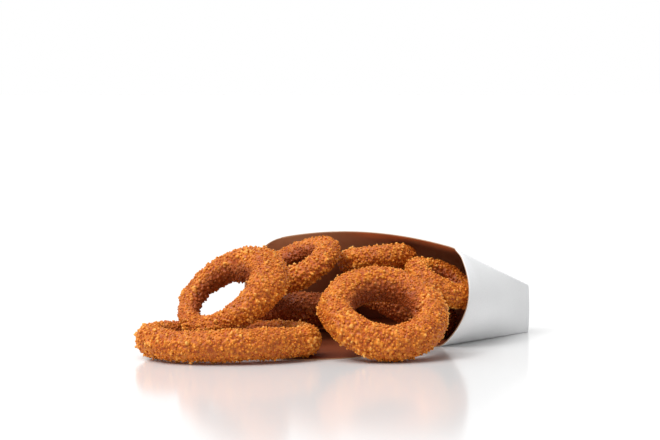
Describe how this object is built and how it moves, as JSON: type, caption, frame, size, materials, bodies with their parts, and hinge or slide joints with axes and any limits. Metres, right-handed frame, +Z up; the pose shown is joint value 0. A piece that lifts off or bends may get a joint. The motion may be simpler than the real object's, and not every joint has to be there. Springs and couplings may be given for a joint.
{
  "type": "onion rings side in a paperboard scoop carton",
  "caption": "Breaded fried onion rings spilling from a small white paperboard scoop carton that lies on its back panel.",
  "frame": {"origin": "bottom centre of the whole object's box, on the surface that it lies on", "axes": "+Z up; the carton's mouth looks towards -Y and -X, its base fold lies towards +Y and +X; the spilled rings lie at -Y"},
  "size_m": [0.182, 0.1942, 0.0496],
  "materials": {
    "board": "white outside, brown inside, matte",
    "crust": "fried crumb crust, dry to slightly oily"
  },
  "bodies": {
    "root": {"carton": "board", "ring_left": "crust", "ring_leaning": "crust", "ring_middle": "crust", "ring_front": "crust", "ring_top": "crust", "ring_right": "crust", "ring_bottom": "crust", "ring_back": "crust"}
  },
  "joints": []
}
